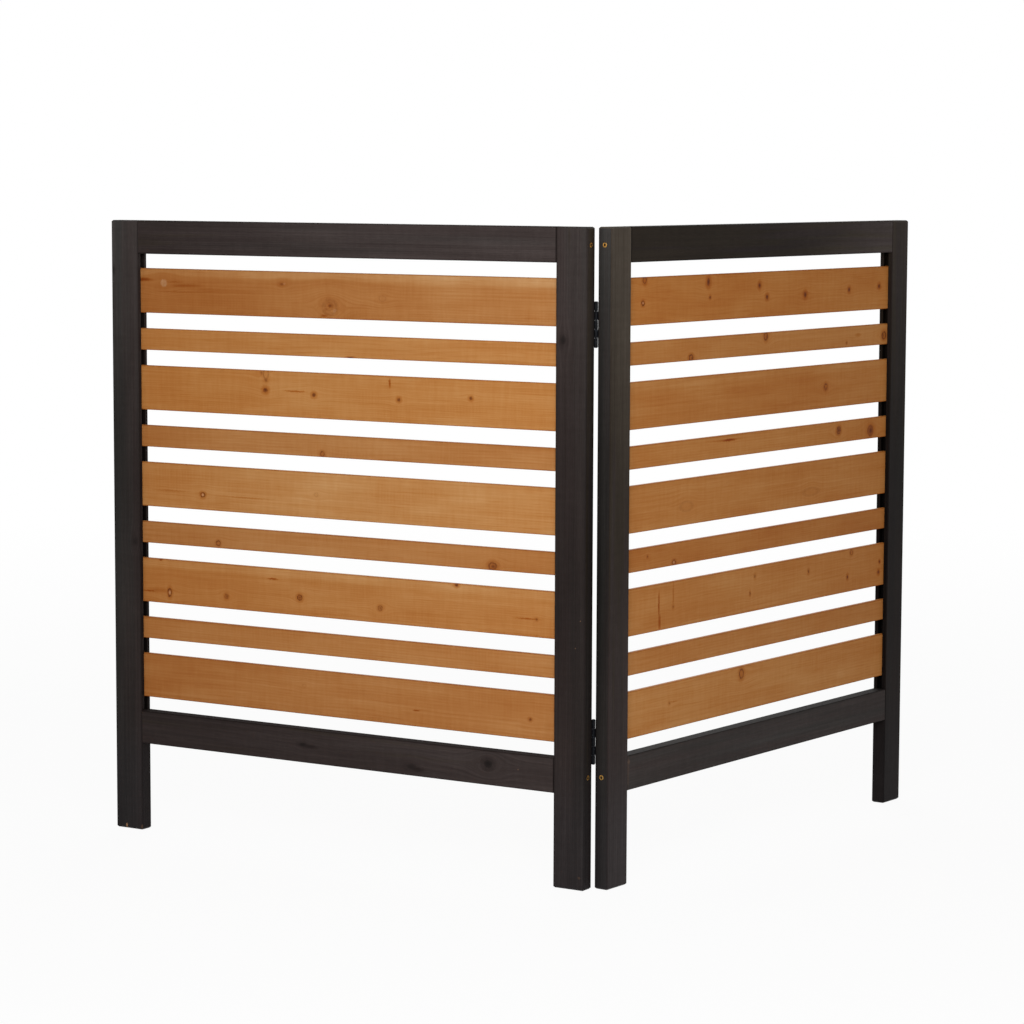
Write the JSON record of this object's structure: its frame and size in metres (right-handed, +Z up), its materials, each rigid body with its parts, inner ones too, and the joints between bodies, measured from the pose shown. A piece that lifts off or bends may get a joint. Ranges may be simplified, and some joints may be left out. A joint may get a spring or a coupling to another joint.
{
  "type": "air conditioner screen",
  "caption": "Folding screen of dark-stained timber frames with wide and narrow brown slats by turns, joined by butt hinges, that stands round an outdoor air conditioner.",
  "frame": {"origin": "on the floor under the middle of the standing screen's bounding box", "axes": "+Z up; -Y is the outside of the fold, which faces the viewer; the hinge axis is vertical at x = 0 and the left panel is on the -X side"},
  "size_m": [1.2816, 0.5918, 0.95],
  "materials": {
    "frame_stain": "charcoal stain, matt, grain open",
    "slat_stain": "cedar-brown stain, satin, small knots",
    "dowel_wood": "bare beech",
    "yellow_zinc": "yellow zinc plate",
    "black_steel": "black enamel, semi-gloss",
    "bright_steel": "bare bright steel"
  },
  "bodies": {
    "left_panel": {"left_outer_stile": "frame_stain", "left_hinge_stile": "frame_stain", "left_top_rail": "frame_stain", "left_bottom_rail": "frame_stain", "left_slat_1": "slat_stain", "left_slat_2": "slat_stain", "left_slat_3": "slat_stain", "left_slat_4": "slat_stain", "left_slat_5": "slat_stain", "left_slat_6": "slat_stain", "left_slat_7": "slat_stain", "left_slat_8": "slat_stain", "left_slat_9": "slat_stain", "left_frame_screws": "yellow_zinc", "left_frame_dowels": "dowel_wood", "left_slat_brads": "bright_steel", "upper_left_leaf": "black_steel", "upper_left_leaf_screws": "black_steel", "lower_left_leaf": "black_steel", "lower_left_leaf_screws": "black_steel", "upper_hinge_pin": "black_steel", "lower_hinge_pin": "black_steel"},
    "right_panel": {"right_outer_stile": "frame_stain", "right_hinge_stile": "frame_stain", "right_top_rail": "frame_stain", "right_bottom_rail": "frame_stain", "right_slat_1": "slat_stain", "right_slat_2": "slat_stain", "right_slat_3": "slat_stain", "right_slat_4": "slat_stain", "right_slat_5": "slat_stain", "right_slat_6": "slat_stain", "right_slat_7": "slat_stain", "right_slat_8": "slat_stain", "right_slat_9": "slat_stain", "right_frame_screws": "yellow_zinc", "right_frame_dowels": "dowel_wood", "right_slat_brads": "bright_steel", "upper_right_leaf": "black_steel", "upper_right_leaf_screws": "black_steel", "lower_right_leaf": "black_steel", "lower_right_leaf_screws": "black_steel"}
  },
  "joints": [
    {"name": "panel_fold", "type": "hinge", "parent": "left_panel", "child": "right_panel", "pos_m": [0, -0.27859, 0.475], "axis": [0, 0, 1], "range_deg": [-85.5, 94.5]}
  ]
}
